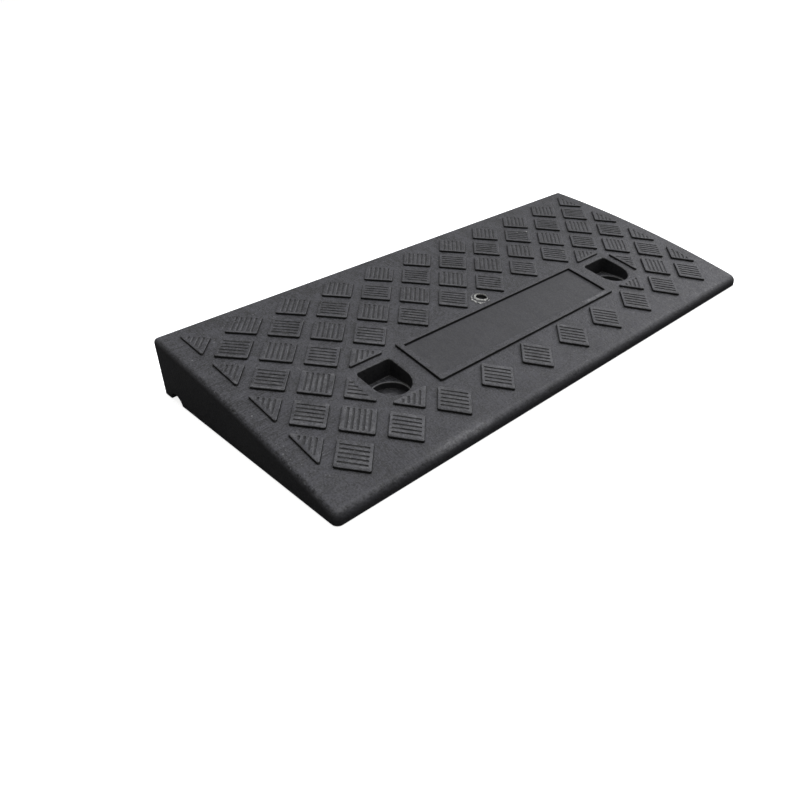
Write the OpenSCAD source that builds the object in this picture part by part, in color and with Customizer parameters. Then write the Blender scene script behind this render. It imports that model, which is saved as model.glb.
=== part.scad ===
// Portable kerb and threshold ramp for wheelchairs and trolleys.
// One ribbed moulding with a cambered tread deck, a blank name plate, two bolt
// pockets with steel seats and sleeves, and rubber buttons underneath.
// X runs along the kerb, Y runs from the low edge to the kerb, Z is up.
// The origin is on the ground, at the centre of the footprint.

/* [Deck] */
// Length along the kerb
ramp_l = 500; // [496:1:512]
// Depth from the low edge to the kerb
ramp_d = 220; // [218:1:224]
// Height of the bare deck where it meets the back face
back_h = 49.45; // [46:0.05:54]
// Height of the bare deck where it meets the front face
front_h = 9.2; // [8.5:0.1:11]
// How far the deck bows up above a straight slope
camber = 5; // [4.5:0.1:6]
// Rounding of the deck's end and back edges
edge_r = 4; // [3:0.5:6]
// Rounding of the deck's front edge
front_edge_r = 5; // [3:0.5:6]
// Plan radius of the two front corners
front_corner_r = 5; // [4:0.5:10]
// Plan radius of the two back corners
back_corner_r = 4; // [3:0.5:8]

/* [Shell and ribs] */
// Thickness of the deck
deck_t = 5; // [4.5:0.25:6]
// Thickness of the side and back walls; the front wall is twice as thick
wall_t = 5; // [4:0.25:6]
// Thickness of a rib
rib_t = 3.5; // [2.5:0.25:4.5]
// Gap under the walls and ribs, which the rubber buttons bridge
ground_gap = 0.5; // [0.3:0.1:1]

/* [Tread] */
// Side-to-side distance between pads in one row
pad_pitch = 46.7; // [46:0.1:46.8]
// Distance between one row and the next
row_step = 22.92; // [22.6:0.02:23]
// Distance of the top row from the back face
first_row = 29.1; // [28.5:0.1:30]
// Half of a pad's corner-to-corner width
pad_half_w = 17.3; // [16:0.1:17.6]
// Height of a pad above the deck
pad_h = 1.7; // [1.3:0.1:2]
// Grooves on a pad
groove_n = 5; // [3:1:5]
// Distance between two grooves
groove_pitch = 3.87; // [3.5:0.01:3.9]
// Width of a groove
groove_w = 1.8; // [1.2:0.1:2]
// Depth of a groove
groove_depth = 0.8; // [0.4:0.1:1]
// Plain border between a pad's edge and the end of its grooves
pad_border = 2.3; // [1.5:0.1:2.8]

/* [Name plate] */
// Length of the plate inside its rim
plate_l = 210; // [180:1:212]
// Depth of the plate inside its rim
plate_d = 41.2; // [36:0.2:42]
// Centre of the plate, measured from the middle of the ramp towards the low edge
plate_y = 34; // [33:0.5:35]
// Width of the raised rim
rim_w = 4.9; // [3:0.1:5]
// Height of the raised rim above the deck
rim_h = 1.8; // [1.2:0.1:2]
// Thickness of the plate
plate_t = 0.8; // [0.6:0.1:1]

/* [Bolt pockets] */
// Distance between the two bolt holes
bolt_span = 280; // [278:0.1:282]
// Distance of the bolt holes from the middle of the ramp towards the low edge
bolt_y = 36.4; // [35:0.1:37]
// Width of a pocket
pocket_w = 33; // [31:0.5:34]
// Flat back edge of a pocket, measured from the bolt hole
pocket_back = 19.2; // [18:0.1:20]
// Height of the pocket's ledge above the ground
ledge_z = 16; // [15:0.2:17]
// Height of the seat under the washer
seat_z = 8; // [7:0.5:9]
// Clear radius for the anchor bolt
bolt_r = 5.5; // [4.5:0.25:6]
// Outer radius of the washer
washer_r = 13.8; // [12:0.2:13.8]
// Thickness of the washer
washer_t = 2.5; // [2:0.25:3]
// Outer radius of the steel sleeve
sleeve_r = 7.5; // [7:0.25:8.5]

/* [Underside] */
// Distance of the cable channel's centre from the back face
channel_back = 21.2; // [20:0.2:22]
// Height of the cable channel
channel_h = 8; // [6:0.2:8.5]
// Radius of a rubber button
foot_r = 10; // [8:0.5:10.5]
// Thickness of a button's head
foot_t = 2.5; // [2:0.25:3]
// Radius of a button's stem
stem_r = 6; // [4:0.5:6.5]
// Length of a button's stem
stem_l = 5; // [3:0.5:5.5]

/* [Hidden] */

black_plastic = [0.13, 0.13, 0.14];
plate_black = [0.10, 0.10, 0.11];
zinc_steel = [0.55, 0.56, 0.58];
rubber_black = [0.05, 0.05, 0.05];

over = 1;              // how far a cut runs past the face it opens
block_h = back_h + 5;  // prisms that reach above the bare deck
tall_h = back_h + 10;  // prisms that reach above everything on the deck

// The deck is part of a large cylinder whose axis runs along X. The arc passes
// through the top of the front face and the top of the back face.
chord = sqrt(ramp_d * ramp_d + pow(back_h - front_h, 2));
deck_r = chord * chord / (8 * camber) + camber / 2;
axis_y = (deck_r - camber) * (back_h - front_h) / chord;
axis_z = (front_h + back_h) / 2 - (deck_r - camber) * ramp_d / chord;
turned_depth = 90;     // radial depth of the turned block
edge_ease = 0.06;      // lift of the front and back edge roundings above the deck

// Webs under the deck
web_inset = 3;         // distance of the webs' ends from the ramp's faces
web_sink = 2.7;        // distance of the webs' tops below the deck surface
pocket_wall = 4;
foot_boss_wall = 1.5;

pad_half_d = pad_half_w * 0.985;
deck_root = 2;         // how far the pads and the rim reach down into the deck
groove_lap = 0.4;      // overlap of the grooved layer and the plain one

recess_depth = 0.6;
plate_gap = 0.2;

washer_gap = 0.2;
dish_gap = 0.3;        // gap between the washer and the foot of the dish
ledge_w = 1.5;         // ledge left around the top of the dish
pocket_corner_r = 3;

channel_r = 9.2;
foot_gap = 0.1;
stem_end_gap = 0.2;    // space above a button's stem

bore_x = bolt_span / 2;
bore_y = -bolt_y;
foot_front_y = -72;
foot_back_y = 64;
rib_pitch = 35;
rib_xs = [for (k = [-6:6]) if (abs(k) != 4) k * rib_pitch];
rib_ys = [foot_back_y, 30, -3, bore_y, foot_front_y];
foot_xs = [-6 * rib_pitch, 0, 6 * rib_pitch];

// Kinds of pad: whole, or a half that points one way
WHOLE = 0;
UPHILL = 1;
DOWNHILL = 2;
OUTWARD = 3;
INWARD = 4;

// Height of the deck at a distance y from the middle
function deck_z(y, lift) = axis_z + sqrt(pow(deck_r + lift, 2) - pow(y - axis_y, 2));

// Rows 0 to 7 are counted from the back; the name plate interrupts rows 4 to 6.
// Even rows sit on whole pitches, odd rows on half pitches.
function is_even(row) = row % 2 == 0;
function row_y(row) = ramp_d / 2 - first_row - row * row_step;
function meets_plate(row) = row >= 4 && row <= 6;

// Pads of one row, each [column, kind]
function row_pads(row) =
    let (last = is_even(row) ? 4 : 4.5,
         beside_plate = row == 4 ? UPHILL : row == 6 ? DOWNHILL : OUTWARD)
    concat([for (k = [-last:1:last]) if (!meets_plate(row) || abs(k) == last) [k, WHOLE]],
           is_even(row) ? [for (side = [-1, 1]) [5 * side, INWARD]] : [],
           meets_plate(row) ? [for (side = [-1, 1]) [(last - 1) * side, beside_plate]] : []);

// Children at both bolt holes
module at_bolts() {
    for (side = [-1, 1]) translate([side * bore_x, bore_y, 0]) children();
}

// Children at all six rubber buttons
module at_feet() {
    for (x = foot_xs, y = [foot_front_y, foot_back_y]) translate([x, y, 0]) children();
}

// Solid cylinder of the deck's family, with its axis along X
module deck_cylinder(lift, len) {
    translate([-len / 2, axis_y, axis_z]) rotate([0, 90, 0])
        cylinder(r = deck_r + lift, h = len, $fn = 720);
}

// Curved sheet between two heights above the bare deck
module deck_sheet(low, high) {
    len = ramp_l + 20;
    difference() {
        deck_cylinder(high, len);
        deck_cylinder(low, len + 2 * over);
    }
}

// Plan outline of the ramp
module plan_outline() {
    x = ramp_l / 2;
    y = ramp_d / 2;
    front = front_corner_r;
    back = back_corner_r;
    translate([-x, -y + front]) square([ramp_l, ramp_d - front - back]);
    translate([-x + front, -y]) square([ramp_l - 2 * front, ramp_d / 2]);
    translate([-x + back, 0]) square([ramp_l - 2 * back, y]);
    for (side = [-1, 1]) {
        translate([side * (x - front), -y + front]) circle(r = front, $fn = 64);
        translate([side * (x - back), y - back]) circle(r = back, $fn = 64);
    }
}

// Deck turned about its axis, with the two end edges rounded
module turned_block() {
    inner_r = deck_r - turned_depth;
    end = ramp_l / 2;
    translate([0, axis_y, axis_z]) rotate([0, 90, 0])
        rotate_extrude($fn = 720) {
            translate([inner_r, -end]) square([turned_depth - edge_r, ramp_l]);
            translate([inner_r, -end + edge_r]) square([turned_depth, ramp_l - 2 * edge_r]);
            for (side = [-1, 1])
                translate([deck_r - edge_r, side * (end - edge_r)])
                    circle(r = edge_r, $fn = 64);
        }
}

// Waste outside a rounded top edge along X; side is 1 at the back, -1 at the front
module edge_waste(side, round_r) {
    lift = edge_ease - round_r;
    y = side * (ramp_d / 2 - round_r);
    z = deck_z(y, lift);
    outer_y = y + side * (round_r + 8);
    reach = round_r + 12;
    // Unit vector from the deck's axis to the centre of the rounding
    normal = [y - axis_y, z - axis_z] / (deck_r + lift);
    translate([-ramp_l / 2 - 5, 0, 0]) rotate([90, 0, 90]) linear_extrude(ramp_l + 10)
        difference() {
            polygon([[y, z], [outer_y, z], [outer_y, z + reach], [y, z] + normal * reach]);
            translate([y, z]) circle(r = round_r, $fn = 64);
        }
}

// Hollow body under the deck, open at the bottom
module shell() {
    difference() {
        intersection() {
            turned_block();
            translate([0, 0, ground_gap]) linear_extrude(block_h) plan_outline();
        }
        edge_waste(1, edge_r);
        edge_waste(-1, front_edge_r);
        intersection() {
            deck_cylinder(-deck_t, ramp_l - 2 * wall_t);
            translate([-ramp_l / 2, -ramp_d / 2 + 2 * wall_t, -over])
                cube([ramp_l, ramp_d - 3 * wall_t, back_h]);
        }
    }
}

// Pad outline, shrunk inwards by inset on every side
module pad_outline(kind, inset = 0) {
    x = pad_half_w - inset * sqrt(2);
    y = pad_half_d - inset * sqrt(2);
    // One outline for each kind, in the order of the kinds' numbers
    polygon([
        [[-x, 0], [0, -y], [x, 0], [0, y]],
        [[-x + inset, inset], [x - inset, inset], [0, y]],
        [[-x + inset, -inset], [0, -y], [x - inset, -inset]],
        [[inset, -y + inset], [x, 0], [inset, y - inset]],
        [[-inset, -y + inset], [-inset, y - inset], [-x, 0]]
    ][kind]);
}

// Grooves of one pad; turn is 1 when they rise towards +X and +Y, -1 when they fall
module pad_grooves(kind, turn) {
    half_l = pad_half_w / sqrt(2) - pad_border;
    intersection() {
        rotate(turn * 45)
            for (g = [0:groove_n - 1])
                translate([-half_l, (g - (groove_n - 1) / 2) * groove_pitch - groove_w / 2])
                    square([2 * half_l, groove_w]);
        pad_outline(kind, pad_border);
    }
}

// All pads in plan. Those left of the middle are mirrored, so their turn is
// reversed to keep the grooves of a row parallel.
module pads_plan(grooved) {
    for (row = [0:7], pad = row_pads(row)) {
        column = pad[0];
        kind = pad[1];
        turn = (is_even(row) ? 1 : -1) * (column < 0 ? -1 : 1);
        translate([column * pad_pitch, row_y(row)])
            mirror([column < 0 ? 1 : 0, 0, 0])
                if (grooved)
                    difference() {
                        pad_outline(kind);
                        pad_grooves(kind, turn);
                    }
                else pad_outline(kind);
    }
}

// Raised pads: a plain layer with a grooved layer on top
module tread() {
    groove_floor = pad_h - groove_depth;
    intersection() {
        deck_sheet(-deck_root, groove_floor);
        linear_extrude(tall_h) pads_plan(false);
    }
    intersection() {
        deck_sheet(groove_floor - groove_lap, pad_h);
        linear_extrude(tall_h) pads_plan(true);
    }
}

// Part of a curved sheet over the name plate's area, grown by grow on every side
module plate_sheet(low, high, grow = 0) {
    intersection() {
        deck_sheet(low, high);
        translate([-plate_l / 2 - grow, -plate_y - plate_d / 2 - grow, 0])
            cube([plate_l + 2 * grow, plate_d + 2 * grow, tall_h]);
    }
}

// D-shaped pocket outline about the bolt hole, grown by grow
module pocket_outline(grow = 0) {
    half_w = pocket_w / 2 + grow;
    corner_r = pocket_corner_r + grow;
    back = pocket_back + grow;
    circle(r = half_w, $fn = 96);
    translate([-half_w, 0]) square([2 * half_w, back - corner_r]);
    translate([-half_w + corner_r, 0]) square([2 * (half_w - corner_r), back]);
    for (side = [-1, 1])
        translate([side * (half_w - corner_r), back - corner_r])
            circle(r = corner_r, $fn = 48);
}

// Webs under the deck, with the bosses for bolts and rubber buttons
module under_structure() {
    x = ramp_l / 2 - web_inset;
    y = ramp_d / 2 - web_inset;
    intersection() {
        deck_cylinder(-web_sink, 2 * x);
        translate([0, 0, ground_gap]) linear_extrude(block_h) {
            for (rib_x = rib_xs) translate([rib_x - rib_t / 2, -y]) square([rib_t, 2 * y]);
            for (rib_y = rib_ys) translate([-x, rib_y - rib_t / 2]) square([2 * x, rib_t]);
            at_bolts() pocket_outline(pocket_wall);
            at_feet() circle(r = foot_r + foot_boss_wall, $fn = 96);
        }
    }
}

// Cut for one bolt pocket: the well, the dish, the washer seat and the sleeve bore
module pocket_cut() {
    washer_top = seat_z + washer_t;
    translate([0, 0, ledge_z]) linear_extrude(back_h) pocket_outline();
    translate([0, 0, washer_top])
        cylinder(r1 = washer_r + dish_gap, r2 = pocket_w / 2 - ledge_w,
                 h = ledge_z - washer_top + 0.001, $fn = 96);
    translate([0, 0, seat_z]) cylinder(r = washer_r + washer_gap, h = washer_t + over, $fn = 96);
    translate([0, 0, -over]) cylinder(r = sleeve_r, h = seat_z + 2 * over, $fn = 96);
}

// Cable and drain channel along the back
module channel_cut() {
    translate([-ramp_l / 2 - over, ramp_d / 2 - channel_back, channel_h - channel_r])
        rotate([0, 90, 0])
            cylinder(r = channel_r, h = ramp_l + 2 * over, $fn = 96);
}

// Seat and socket for one rubber button
module foot_cut() {
    translate([0, 0, -over]) {
        cylinder(r = foot_r + foot_gap, h = foot_t + over, $fn = 96);
        cylinder(r = stem_r, h = foot_t + stem_l + over + stem_end_gap, $fn = 96);
    }
}

module ramp_body() {
    color(black_plastic) difference() {
        union() {
            shell();
            under_structure();
            tread();
            plate_sheet(-deck_root, rim_h, rim_w);
        }
        plate_sheet(-recess_depth, rim_h + 2);
        at_bolts() pocket_cut();
        channel_cut();
        at_feet() foot_cut();
    }
}

// Curved blank plate in the recess
module name_plate() {
    color(plate_black) plate_sheet(-recess_depth, plate_t - recess_depth, -plate_gap);
}

// Clearance for the anchor bolt through a steel part
module bolt_hole(height) {
    translate([0, 0, -over]) cylinder(r = bolt_r, h = height + 2 * over, $fn = 96);
}

// Flat steel ring at the bottom of a pocket; side is -1 on the left, 1 on the right
module seat_washer(side) {
    color(zinc_steel) translate([side * bore_x, bore_y, seat_z]) difference() {
        cylinder(r = washer_r, h = washer_t, $fn = 96);
        bolt_hole(washer_t);
    }
}

// Steel sleeve that carries the bolt's clamp force past the plastic
module bolt_bush(side) {
    color(zinc_steel) translate([side * bore_x, bore_y, ground_gap]) difference() {
        cylinder(r = sleeve_r, h = seat_z - ground_gap, $fn = 96);
        bolt_hole(seat_z);
    }
}

// Rubber button: a head that stands on the ground and a stem in the socket
module foot_pad(x, y) {
    color(rubber_black) translate([x, y, 0]) union() {
        cylinder(r = foot_r, h = foot_t, $fn = 96);
        cylinder(r = stem_r, h = foot_t + stem_l, $fn = 96);
    }
}

ramp_body();
name_plate();
seat_washer(-1);  // seat_washer_left
seat_washer(1);  // seat_washer_right
bolt_bush(-1);  // bolt_bush_left
bolt_bush(1);  // bolt_bush_right
foot_pad(foot_xs[0], foot_front_y);  // foot_pad_front_left
foot_pad(foot_xs[1], foot_front_y);  // foot_pad_front_middle
foot_pad(foot_xs[2], foot_front_y);  // foot_pad_front_right
foot_pad(foot_xs[0], foot_back_y);  // foot_pad_back_left
foot_pad(foot_xs[1], foot_back_y);  // foot_pad_back_middle
foot_pad(foot_xs[2], foot_back_y);  // foot_pad_back_right
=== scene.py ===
"""Kerb and threshold ramp of black recycled plastic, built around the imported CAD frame.

The ramp is centred on the origin with its length along X. The low edge is the
front (-Y), the high edge the back (+Y), and the ground is z = 0. Meshes are
worked out in mm and stored in metres; materials and the stage are in metres.
"""
import math
from functools import cached_property
import bpy
import bmesh
import numpy as np
from mathutils import Matrix, Vector


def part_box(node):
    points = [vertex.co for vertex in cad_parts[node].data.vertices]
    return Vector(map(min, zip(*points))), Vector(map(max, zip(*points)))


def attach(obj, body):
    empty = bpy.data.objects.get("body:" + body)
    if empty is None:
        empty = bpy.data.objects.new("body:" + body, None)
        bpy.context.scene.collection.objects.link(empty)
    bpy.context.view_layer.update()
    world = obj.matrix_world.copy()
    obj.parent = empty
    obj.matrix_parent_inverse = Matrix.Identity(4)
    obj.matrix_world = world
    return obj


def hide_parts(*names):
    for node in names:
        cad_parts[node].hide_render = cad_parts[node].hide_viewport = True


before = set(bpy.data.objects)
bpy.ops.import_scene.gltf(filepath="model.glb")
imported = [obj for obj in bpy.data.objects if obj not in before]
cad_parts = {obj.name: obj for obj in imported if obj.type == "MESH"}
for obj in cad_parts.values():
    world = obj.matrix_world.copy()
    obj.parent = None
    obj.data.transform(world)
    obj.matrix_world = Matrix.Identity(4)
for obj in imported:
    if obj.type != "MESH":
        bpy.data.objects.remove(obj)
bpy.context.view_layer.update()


# ------------------------------------------------------------------ sizes in mm
def cad_box(piece):
    """Low and high corners of a CAD piece."""
    return [np.array(v) * 1000 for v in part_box(piece)]


low, high = cad_box("ramp_body")
HALF_X, HALF_Y = (high[0] - low[0]) / 2, (high[1] - low[1]) / 2
GAP = float(low[2])                  # ground to the underside
low, high = cad_box("seat_washer_right")
BORE_X, BORE_Y = float(low[0] + high[0]) / 2, float(low[1] + high[1]) / 2
WASHER_R = float(high[0] - low[0]) / 2
SEAT_Z, WASHER_TOP = float(low[2]), float(high[2])
BORES = {"left": (-BORE_X, BORE_Y), "right": (BORE_X, BORE_Y)}
low, high = cad_box("name_plate")
PLATE = (float(low[0]), float(high[0]), float(low[1]), float(high[1]))  # x0, x1, y0, y1

# the deck is an arc about a line along X at (ARC_Y, ARC_Z)
BACK_H, FRONT_H, CAMBER = 49.45, 9.2, 5.0
CHORD = math.hypot(2 * HALF_Y, BACK_H - FRONT_H)
DECK_R = CHORD * CHORD / (8 * CAMBER) + CAMBER / 2
ARC_Y = (DECK_R - CAMBER) * (BACK_H - FRONT_H) / CHORD
ARC_Z = (FRONT_H + BACK_H) / 2 - (DECK_R - CAMBER) * 2 * HALF_Y / CHORD

LEDGE_Z = 16.0                       # ledge in each bolt pocket
DISH_R = 15.0                        # dished seat below the ledge
BOLT_R, SLEEVE_R = 5.5, 7.5
PAD_H = 1.7                          # tread pads above the deck


def deck_z(y, h=0.0):
    """Height of the surface that lies h above the bare deck."""
    return ARC_Z + np.sqrt((DECK_R + h) ** 2 - (np.asarray(y, float) - ARC_Y) ** 2)


# ------------------------------------------------------------------ mesh tools
class Shell:
    """Vertices in mm and faces, gathered ring by ring."""

    def __init__(self):
        self.verts, self.faces = [], []

    def ring(self, points):
        first = len(self.verts)
        self.verts.extend([tuple(map(float, p)) for p in points])
        return list(range(first, first + len(points)))

    def loft(self, rings, closed=False):
        """Quads between neighbouring rings; closed also joins the last to the first."""
        for a, b in zip(rings, rings[1:] + (rings[:1] if closed else [])):
            n = len(a)
            for i in range(n):
                j = (i + 1) % n
                self.faces.append((a[i], a[j], b[j], b[i]))

    def fan(self, ring, centre, up=True):
        hub = self.ring([centre])[0]
        for a, b in zip(ring, ring[1:] + ring[:1]):
            self.faces.append((a, b, hub) if up else (b, a, hub))

    def face(self, ring, up=True):
        self.faces.append(tuple(ring) if up else tuple(reversed(ring)))

    def solid(self, rings):
        """Loft closed with flat ends."""
        ids = [self.ring(r) for r in rings]
        self.loft(ids)
        self.face(ids[0], up=False)
        self.face(ids[-1])

    def grid_cap(self, ring, counts, h, up=True):
        """Fills a rect_ring with a regular grid that lies h above the deck."""
        nx, ny, n_arc = counts
        side = n_arc + ny + n_arc
        n = len(ring)
        left = [ring[(nx + side + nx + (side - j)) % n] for j in range(side + 1)]
        right = [ring[nx + j] for j in range(side + 1)]
        rows = [ring[:nx + 1]]
        for j in range(1, side):
            x0, y, _ = self.verts[left[j]]
            x1 = self.verts[right[j]][0]
            z = float(deck_z(y, h))
            inner = [(x0 + (x1 - x0) * k / nx, y, z) for k in range(1, nx)]
            rows.append([left[j], *self.ring(inner), right[j]])
        rows.append([ring[nx + side + k] for k in range(nx, -1, -1)])
        for a, b in zip(rows, rows[1:]):
            for k in range(nx):
                self.face((a[k], a[k + 1], b[k + 1], b[k]), up)

    def object(self, name):
        mesh = bpy.data.meshes.new(name)
        mesh.from_pydata([tuple(c * 0.001 for c in p) for p in self.verts], [], self.faces)
        bm = bmesh.new()
        bm.from_mesh(mesh)
        bmesh.ops.recalc_face_normals(bm, faces=bm.faces)
        bm.to_mesh(mesh)
        bm.free()
        ob = bpy.data.objects.new(name, mesh)
        bpy.context.scene.collection.objects.link(ob)
        return ob


def with_z(xy, z):
    xy = np.asarray(xy, float)
    return np.column_stack([xy, np.broadcast_to(z, (len(xy),))])


def on_deck(xy, h=0.0):
    return with_z(xy, deck_z(xy[:, 1], h))


def turn(n):
    """n angles round a full turn."""
    return np.linspace(0, 2 * math.pi, n, endpoint=False)


def polar(centre, r, angles):
    return np.column_stack([centre[0] + r * np.cos(angles), centre[1] + r * np.sin(angles)])


def quarter(centre, r, start, n):
    """Arc of a quarter turn from angle start, without its first point."""
    return polar(centre, r, np.radians(start) + np.linspace(0, math.pi / 2, n + 1)[1:])


def straight(a, b, n):
    """Straight run from a to b, without its first point."""
    t = np.linspace(0, 1, n + 1)[1:, None]
    return np.asarray(a) * (1 - t) + np.asarray(b) * t


def grown(box, by):
    x0, x1, y0, y1 = box
    return x0 - by, x1 + by, y0 - by, y1 + by


def rect_ring(box, inset, r_front, r_back, counts, front_inset=None):
    """Rounded rectangle, counter-clockwise from the front left corner.

    counts are the steps along X, along Y and round each corner."""
    nx, ny, n_arc = counts
    rf, rb = max(r_front - inset, 0.3), max(r_back - inset, 0.3)
    x0, x1 = box[0] + inset, box[1] - inset
    y0, y1 = box[2] + (inset if front_inset is None else front_inset), box[3] - inset
    return np.vstack([
        np.array([[x0 + rf, y0]]),
        straight((x0 + rf, y0), (x1 - rf, y0), nx),
        quarter((x1 - rf, y0 + rf), rf, -90, n_arc),
        straight((x1, y0 + rf), (x1, y1 - rb), ny),
        quarter((x1 - rb, y1 - rb), rb, 0, n_arc),
        straight((x1 - rb, y1), (x0 + rb, y1), nx),
        quarter((x0 + rb, y1 - rb), rb, 90, n_arc),
        straight((x0, y1 - rb), (x0, y0 + rf), ny),
        quarter((x0 + rf, y0 + rf), rf, 180, n_arc)[:-1]])


def inset_poly(poly, inset):
    """Convex counter-clockwise polygon moved inwards."""
    poly = np.asarray(poly, float)
    n = len(poly)
    out = []
    for i in range(n):
        a, b, c = poly[i - 1], poly[i], poly[(i + 1) % n]
        before, after = (b - a) / np.linalg.norm(b - a), (c - b) / np.linalg.norm(c - b)
        n1, n2 = np.array([-before[1], before[0]]), np.array([-after[1], after[0]])
        out.append(b + (n1 + n2) * inset / (1 + n1 @ n2))
    return np.array(out)


def fillet_poly(poly, r, n):
    """Rounds every corner of a convex counter-clockwise polygon with n + 1 points."""
    out = []
    for i in range(len(poly)):
        a, b, c = poly[i - 1], poly[i], poly[(i + 1) % len(poly)]
        back, ahead = (a - b) / np.linalg.norm(a - b), (c - b) / np.linalg.norm(c - b)
        half = math.acos(np.clip(back @ ahead, -1, 1)) / 2
        reach = r / math.tan(half)
        centre = b + (back + ahead) / np.linalg.norm(back + ahead) * (r / math.sin(half))
        start, end = b + back * reach - centre, b + ahead * reach - centre
        a0, a1 = math.atan2(start[1], start[0]), math.atan2(end[1], end[0])
        if a1 < a0:
            a1 += 2 * math.pi
        for k in range(n + 1):
            angle = a0 + (a1 - a0) * k / n
            out.append(centre + r * np.array([math.cos(angle), math.sin(angle)]))
    return np.array(out)


def solid_of_rings(name, rings):
    shell = Shell()
    shell.solid(rings)
    return shell.object(name)


def deck_solid(name, rings, counts, top):
    """Loft of rect_rings with a flat foot and a top that lies at height top on the deck."""
    shell = Shell()
    ids = [shell.ring(r) for r in rings]
    shell.loft(ids)
    shell.grid_cap(ids[-1], counts, top)
    shell.face(ids[0], up=False)
    return shell.object(name)


def disc(name, centre, profile, n=64):
    """Solid from (radius, z) rings, bottom first."""
    return solid_of_rings(name, [with_z(polar(centre, r, turn(n)), z) for r, z in profile])


def revolve(name, profile, centre, n=96):
    """Closed (radius, z) profile turned about a vertical axis."""
    shell = Shell()
    ids = [shell.ring(with_z(polar(centre, r, turn(n)), z)) for r, z in profile]
    shell.loft(ids, closed=True)
    return shell.object(name)


def boolean(ob, tools, operation):
    """Applies exact solid booleans one after another and removes the tools."""
    before = len(ob.data.polygons)
    for tool in tools:
        mod = ob.modifiers.new("boolean", "BOOLEAN")
        mod.solver, mod.operation, mod.object = "MANIFOLD", operation, tool
    depsgraph = bpy.context.evaluated_depsgraph_get()
    mesh = bpy.data.meshes.new_from_object(ob.evaluated_get(depsgraph))
    ob.modifiers.clear()
    old = ob.data
    ob.data = mesh
    bpy.data.meshes.remove(old)
    for tool in tools:
        bpy.data.objects.remove(tool)
    if len(mesh.polygons) == before:
        raise RuntimeError("a boolean changed nothing")


def install(ob, sharp_angle, piece=None):
    """Shades the object and tells the frame what it replaces and what it rides on."""
    mesh = ob.data
    mesh.polygons.foreach_set("use_smooth", [True] * len(mesh.polygons))
    mesh.set_sharp_from_angle(angle=math.radians(sharp_angle))
    mesh.update()
    if piece:
        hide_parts(piece)
    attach(ob, "root")
    return ob


# ------------------------------------------------------------------ outer body
EDGE_R, FRONT_R = 4.0, 5.0           # rolled top edges; the front is rolled over more
FRONT_BLEND = 8                      # depth over which one radius turns into the other
CORNER_FRONT, CORNER_BACK = 5.0, 4.0  # corners in plan


def outer_body():
    counts = (60, 30, 8)

    def ring(inset, front_inset=None):
        return rect_ring((-HALF_X, HALF_X, -HALF_Y, HALF_Y), inset,
                         CORNER_FRONT, CORNER_BACK, counts, front_inset)

    base = ring(0)
    roll = EDGE_R + (FRONT_R - EDGE_R) * np.clip(1 - (base[:, 1] + HALF_Y) / FRONT_BLEND, 0, 1)
    rings = [with_z(ring(0.4), GAP), with_z(base, GAP + 0.5)]
    for degrees in np.linspace(0, 90, 11):
        c, s = math.cos(math.radians(degrees)), math.sin(math.radians(degrees))
        xy = ring(EDGE_R * (1 - c), FRONT_R * (1 - c))
        rings.append(with_z(xy, deck_z(xy[:, 1]) - roll * (1 - s)))
    return deck_solid("ramp_moulding", rings, counts, top=0.0)


# ------------------------------------------------------------------ underside
WALL, FRONT_WALL = 5, 10
WEB_TOP = -2.7                       # webs end inside the thickness of the deck
WEB_HALF, WEB_DRAFT = 1.9, 0.45      # half thickness, and what it loses at the ground
RIB_PITCH = 35
RIB_X = [k * RIB_PITCH for k in range(-6, 7) if abs(k) != 4]
FOOT_Y = (-72, 64)
RIB_Y = [FOOT_Y[1], 30, -3, BORE_Y, FOOT_Y[0]]
FEET = [(x, y) for x in (-6 * RIB_PITCH, 0, 6 * RIB_PITCH) for y in FOOT_Y]


def cavity():
    counts = (1, 26, 5)
    box = (-HALF_X + WALL, HALF_X - WALL, -HALF_Y + FRONT_WALL, HALF_Y - WALL)
    rings = [with_z(rect_ring(box, -0.45, 4, 4, counts), -3)]
    # inset and drop below the roof: a small chamfer under the deck
    for inset, drop in ((0.15, 1.8), (0.5, 0.55), (1.6, 0)):
        xy = rect_ring(box, inset, 4, 4, counts)
        rings.append(with_z(xy, deck_z(xy[:, 1], -WALL) - drop))
    return deck_solid("cavity", rings, counts, top=-WALL)


def rib(x0, x1, y0, y1, along_y):
    """Web with draft: thinner at the ground than under the deck."""
    counts = (1, 26 if along_y else 1, 1)
    dx, dy = (WEB_DRAFT, 0) if along_y else (0, WEB_DRAFT)
    foot = rect_ring((x0 + dx, x1 - dx, y0 + dy, y1 - dy), 0, 0.3, 0.3, counts)
    head = rect_ring((x0, x1, y0, y1), 0, 0.3, 0.3, counts)
    return deck_solid("rib", [with_z(foot, GAP), on_deck(head, WEB_TOP)], counts, WEB_TOP)


def boss(name, foot, head):
    return solid_of_rings(name, [with_z(foot, GAP), on_deck(head, WEB_TOP)])


def all_webs():
    x_end, y_end = HALF_X - 3, HALF_Y - 3
    webs = [rib(x - WEB_HALF, x + WEB_HALF, -y_end, y_end, True) for x in RIB_X]
    webs += [rib(-x_end, x_end, y - WEB_HALF, y + WEB_HALF, False) for y in RIB_Y]
    for bore in BORES.values():
        webs.append(boss("boss", pocket_outline(3.7) + bore, pocket_outline(4.3) + bore))
    for foot in FEET:
        webs.append(boss("foot_boss", polar(foot, 11.3, turn(64)), polar(foot, 11.7, turn(64))))
    return webs


# ------------------------------------------------------------------ bolt pockets
POCKET_HALF, POCKET_BACK, POCKET_CORNER = 16.5, 19.2, 3.0
POCKET_LIP = 1.1                     # rolled upper edge


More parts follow.
